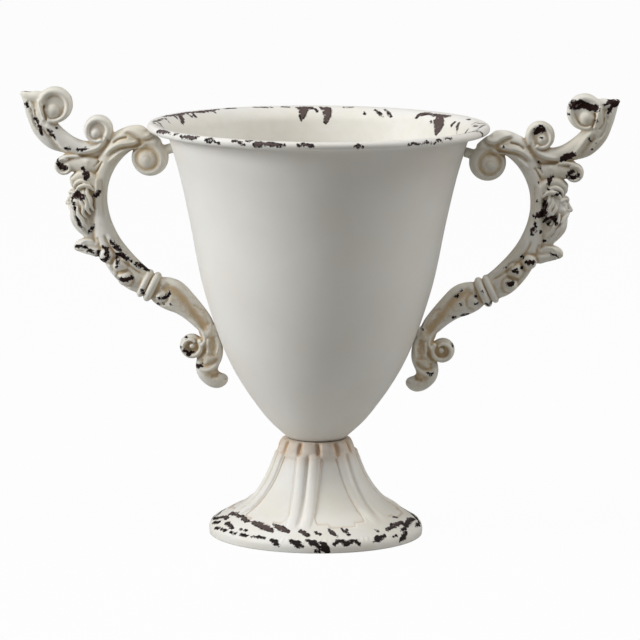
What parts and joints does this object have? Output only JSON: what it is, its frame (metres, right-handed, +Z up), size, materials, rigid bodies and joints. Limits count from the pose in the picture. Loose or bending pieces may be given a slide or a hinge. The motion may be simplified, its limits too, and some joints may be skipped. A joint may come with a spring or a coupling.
{
  "type": "urn vase",
  "caption": "Two-handled trophy-form urn vase: open spun metal cup with rolled rim, cast scroll handles, stamped bell foot.",
  "frame": {"origin": "centre of the foot's base, on the surface that the vase stands on", "axes": "+Z up along the vase's axis, +X out through the right handle, +Y towards the back"},
  "size_m": [0.3564, 0.2032, 0.267],
  "materials": {
    "cup_paint": "satin off-white paint, chipped along the rim",
    "foot_paint": "satin off-white paint with tan antiquing in the hollows, chipped",
    "handle_paint": "satin off-white paint with tan antiquing and dark chips on the high places",
    "spacer_steel": "dark, dull",
    "bolt_steel": "zinc plated, dulled",
    "screw_steel": "zinc plated, dulled"
  },
  "bodies": {
    "root": {"cup_shell": "cup_paint", "neck_spacer": "spacer_steel", "foot_shell": "foot_paint", "centre_bolt": "bolt_steel", "cup_washer": "bolt_steel", "foot_washer": "bolt_steel", "lock_washer": "bolt_steel", "centre_nut": "bolt_steel", "left_handle": "handle_paint", "right_handle": "handle_paint", "left_upper_screw": "screw_steel", "left_lower_screw": "screw_steel", "right_upper_screw": "screw_steel", "right_lower_screw": "screw_steel", "left_upper_washer": "screw_steel", "left_lower_washer": "screw_steel", "right_upper_washer": "screw_steel", "right_lower_washer": "screw_steel"}
  },
  "joints": []
}
